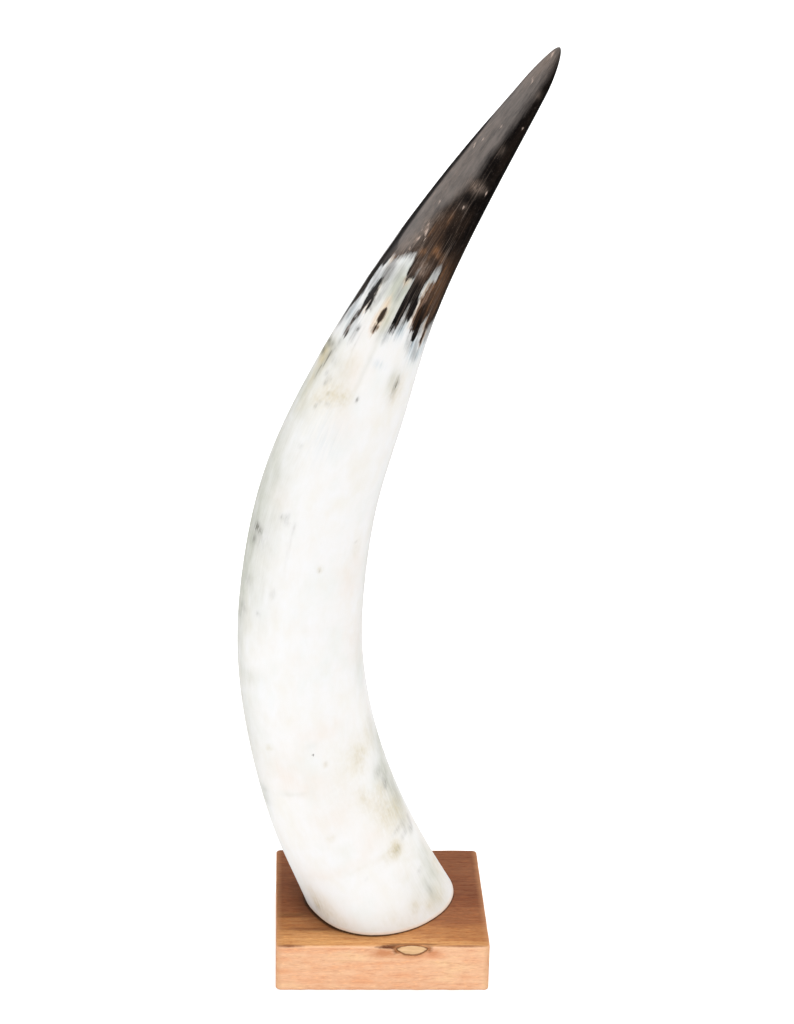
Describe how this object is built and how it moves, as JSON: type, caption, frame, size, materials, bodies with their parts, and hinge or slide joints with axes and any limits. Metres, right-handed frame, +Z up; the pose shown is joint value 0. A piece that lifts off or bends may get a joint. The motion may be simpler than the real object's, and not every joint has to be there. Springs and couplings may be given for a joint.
{
  "type": "cow horn on stand",
  "caption": "Pale curved cow horn with a dark pointed tip, sawn level at the foot and screwed upright to a square wooden block that rests on a table or shelf.",
  "frame": {"origin": "middle of the wooden block's underside", "axes": "+Z up through the block towards the horn's tip, +X to the right towards the side the tip leans over, +Y away from the front face"},
  "size_m": [0.207, 0.15, 0.6591],
  "materials": {
    "horn": "scraped and polished horn, off-white body with a brown-black tip",
    "oiled_wood": "planed and lightly oiled, reddish brown",
    "screw_steel": "zinc-plated"
  },
  "bodies": {
    "root": {"horn": "horn", "base_block": "oiled_wood", "fixing_screw_front": "screw_steel", "fixing_screw_back": "screw_steel"}
  },
  "joints": []
}
